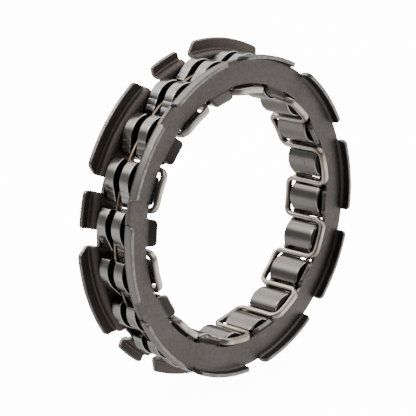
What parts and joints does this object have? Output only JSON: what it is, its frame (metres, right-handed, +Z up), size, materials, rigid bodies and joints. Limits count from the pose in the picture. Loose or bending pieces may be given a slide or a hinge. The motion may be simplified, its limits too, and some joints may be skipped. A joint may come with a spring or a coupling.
{
  "type": "sprag clutch",
  "caption": "Caged one-way sprag clutch insert: sprung wedge cams between two pressed side plates, joined by a square-wave wire spring and circled by a garter ring.",
  "frame": {"origin": "centre of the bounding box, on the ring axis midway between the rims of the front lips and the backs of the rear flanges", "axes": "+Y along the ring axis from the front side plate to the flanged rear side plate; +Z up and +X to the side, both across the ring"},
  "size_m": [0.0682, 0.0125, 0.0686],
  "materials": {
    "side_plates": "satin, dark grey pressed steel sheet with bright cut edges",
    "sprags": "bright ground bearing steel with a fine lengthwise grain",
    "spring_wire": "smooth, shiny, slightly warm spring steel",
    "garter": "straw-coloured tempered spring steel"
  },
  "bodies": {
    "cage": {"front_side_plate": "side_plates", "rear_side_plate": "side_plates", "meander_spring": "spring_wire", "garter_ring": "garter"},
    "sprag_01": {"sprag_01": "sprags"},
    "sprag_02": {"sprag_02": "sprags"},
    "sprag_03": {"sprag_03": "sprags"},
    "sprag_04": {"sprag_04": "sprags"},
    "sprag_05": {"sprag_05": "sprags"},
    "sprag_06": {"sprag_06": "sprags"},
    "sprag_07": {"sprag_07": "sprags"},
    "sprag_08": {"sprag_08": "sprags"},
    "sprag_09": {"sprag_09": "sprags"},
    "sprag_10": {"sprag_10": "sprags"},
    "sprag_11": {"sprag_11": "sprags"},
    "sprag_12": {"sprag_12": "sprags"},
    "sprag_13": {"sprag_13": "sprags"},
    "sprag_14": {"sprag_14": "sprags"},
    "sprag_15": {"sprag_15": "sprags"},
    "sprag_16": {"sprag_16": "sprags"},
    "sprag_17": {"sprag_17": "sprags"},
    "sprag_18": {"sprag_18": "sprags"},
    "sprag_19": {"sprag_19": "sprags"},
    "sprag_20": {"sprag_20": "sprags"}
  },
  "joints": [
    {"name": "sprag_01_rock", "type": "hinge", "parent": "cage", "child": "sprag_01", "pos_m": [0.02711, 0, 0.00676], "axis": [0, -1, 0], "range_deg": [-3, 5], "stiffness_Nm_per_rad": 0.005},
    {"name": "sprag_02_rock", "type": "hinge", "parent": "cage", "child": "sprag_02", "pos_m": [0.02369, 0, 0.01481], "axis": [0, -1, 0], "range_deg": [-3, 5], "stiffness_Nm_per_rad": 0.005},
    {"name": "sprag_03_rock", "type": "hinge", "parent": "cage", "child": "sprag_03", "pos_m": [0.01796, 0, 0.0214], "axis": [0, -1, 0], "range_deg": [-3, 5], "stiffness_Nm_per_rad": 0.005},
    {"name": "sprag_04_rock", "type": "hinge", "parent": "cage", "child": "sprag_04", "pos_m": [0.01047, 0, 0.02591], "axis": [0, -1, 0], "range_deg": [-3, 5], "stiffness_Nm_per_rad": 0.005},
    {"name": "sprag_05_rock", "type": "hinge", "parent": "cage", "child": "sprag_05", "pos_m": [0.00195, 0, 0.02787], "axis": [0, -1, 0], "range_deg": [-3, 5], "stiffness_Nm_per_rad": 0.005},
    {"name": "sprag_06_rock", "type": "hinge", "parent": "cage", "child": "sprag_06", "pos_m": [-0.00676, 0, 0.02711], "axis": [0, -1, 0], "range_deg": [-3, 5], "stiffness_Nm_per_rad": 0.005},
    {"name": "sprag_07_rock", "type": "hinge", "parent": "cage", "child": "sprag_07", "pos_m": [-0.01481, 0, 0.02369], "axis": [0, -1, 0], "range_deg": [-3, 5], "stiffness_Nm_per_rad": 0.005},
    {"name": "sprag_08_rock", "type": "hinge", "parent": "cage", "child": "sprag_08", "pos_m": [-0.0214, 0, 0.01796], "axis": [0, -1, 0], "range_deg": [-3, 5], "stiffness_Nm_per_rad": 0.005},
    {"name": "sprag_09_rock", "type": "hinge", "parent": "cage", "child": "sprag_09", "pos_m": [-0.02591, 0, 0.01047], "axis": [0, -1, 0], "range_deg": [-3, 5], "stiffness_Nm_per_rad": 0.005},
    {"name": "sprag_10_rock", "type": "hinge", "parent": "cage", "child": "sprag_10", "pos_m": [-0.02787, 0, 0.00195], "axis": [0, -1, 0], "range_deg": [-3, 5], "stiffness_Nm_per_rad": 0.005},
    {"name": "sprag_11_rock", "type": "hinge", "parent": "cage", "child": "sprag_11", "pos_m": [-0.02711, 0, -0.00676], "axis": [0, -1, 0], "range_deg": [-3, 5], "stiffness_Nm_per_rad": 0.005},
    {"name": "sprag_12_rock", "type": "hinge", "parent": "cage", "child": "sprag_12", "pos_m": [-0.02369, 0, -0.01481], "axis": [0, -1, 0], "range_deg": [-3, 5], "stiffness_Nm_per_rad": 0.005},
    {"name": "sprag_13_rock", "type": "hinge", "parent": "cage", "child": "sprag_13", "pos_m": [-0.01796, 0, -0.0214], "axis": [0, -1, 0], "range_deg": [-3, 5], "stiffness_Nm_per_rad": 0.005},
    {"name": "sprag_14_rock", "type": "hinge", "parent": "cage", "child": "sprag_14", "pos_m": [-0.01047, 0, -0.02591], "axis": [0, -1, 0], "range_deg": [-3, 5], "stiffness_Nm_per_rad": 0.005},
    {"name": "sprag_15_rock", "type": "hinge", "parent": "cage", "child": "sprag_15", "pos_m": [-0.00195, 0, -0.02787], "axis": [0, -1, 0], "range_deg": [-3, 5], "stiffness_Nm_per_rad": 0.005},
    {"name": "sprag_16_rock", "type": "hinge", "parent": "cage", "child": "sprag_16", "pos_m": [0.00676, 0, -0.02711], "axis": [0, -1, 0], "range_deg": [-3, 5], "stiffness_Nm_per_rad": 0.005},
    {"name": "sprag_17_rock", "type": "hinge", "parent": "cage", "child": "sprag_17", "pos_m": [0.01481, 0, -0.02369], "axis": [0, -1, 0], "range_deg": [-3, 5], "stiffness_Nm_per_rad": 0.005},
    {"name": "sprag_18_rock", "type": "hinge", "parent": "cage", "child": "sprag_18", "pos_m": [0.0214, 0, -0.01796], "axis": [0, -1, 0], "range_deg": [-3, 5], "stiffness_Nm_per_rad": 0.005},
    {"name": "sprag_19_rock", "type": "hinge", "parent": "cage", "child": "sprag_19", "pos_m": [0.02591, 0, -0.01047], "axis": [0, -1, 0], "range_deg": [-3, 5], "stiffness_Nm_per_rad": 0.005},
    {"name": "sprag_20_rock", "type": "hinge", "parent": "cage", "child": "sprag_20", "pos_m": [0.02787, 0, -0.00195], "axis": [0, -1, 0], "range_deg": [-3, 5], "stiffness_Nm_per_rad": 0.005}
  ]
}
